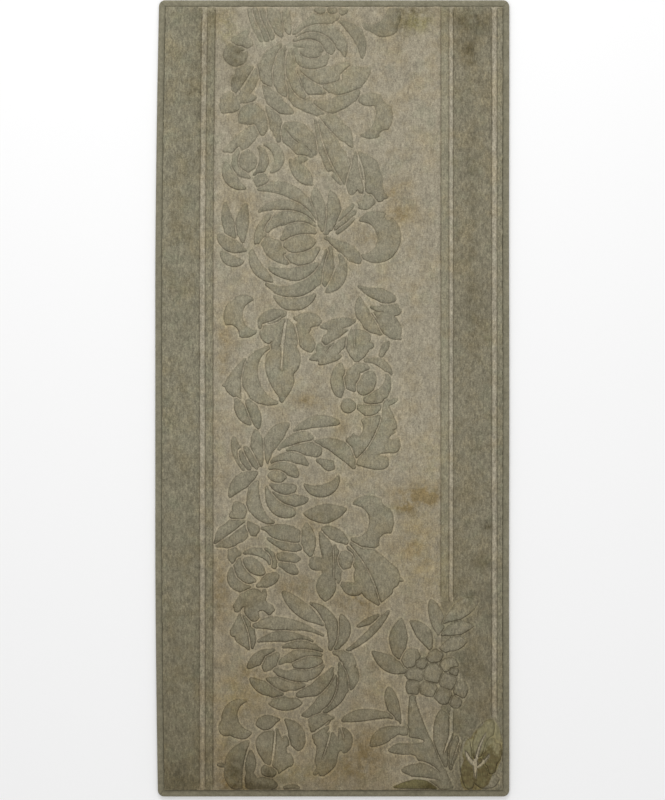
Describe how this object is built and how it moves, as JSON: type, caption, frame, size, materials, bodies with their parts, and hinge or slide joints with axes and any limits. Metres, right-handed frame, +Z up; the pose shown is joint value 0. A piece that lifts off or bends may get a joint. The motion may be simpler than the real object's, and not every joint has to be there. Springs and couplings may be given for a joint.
{
  "type": "carved pile floor rug",
  "caption": "Flat rectangular wool pile floor rug with raised carved flowers and leaves, carved border stripes and a tape-bound edge.",
  "frame": {"origin": "centre of the rug's outline on the floor plane, at the flat underside", "axes": "+Z up out of the pile, +Y along the length toward the end at the top of the picture, +X across the width toward the broad green band"},
  "size_m": [0.61, 1.372, 0.0126],
  "materials": {
    "wool_pile": "matt worn wool pile, beige ground with grey-green flowers, leaves and bands, browned toward one end",
    "edge_tape": "matt woven grey-green tape"
  },
  "bodies": {
    "root": {"pile_panel": "wool_pile", "binding_left": "edge_tape", "binding_right": "edge_tape", "binding_top": "edge_tape", "binding_bottom": "edge_tape"}
  },
  "joints": []
}
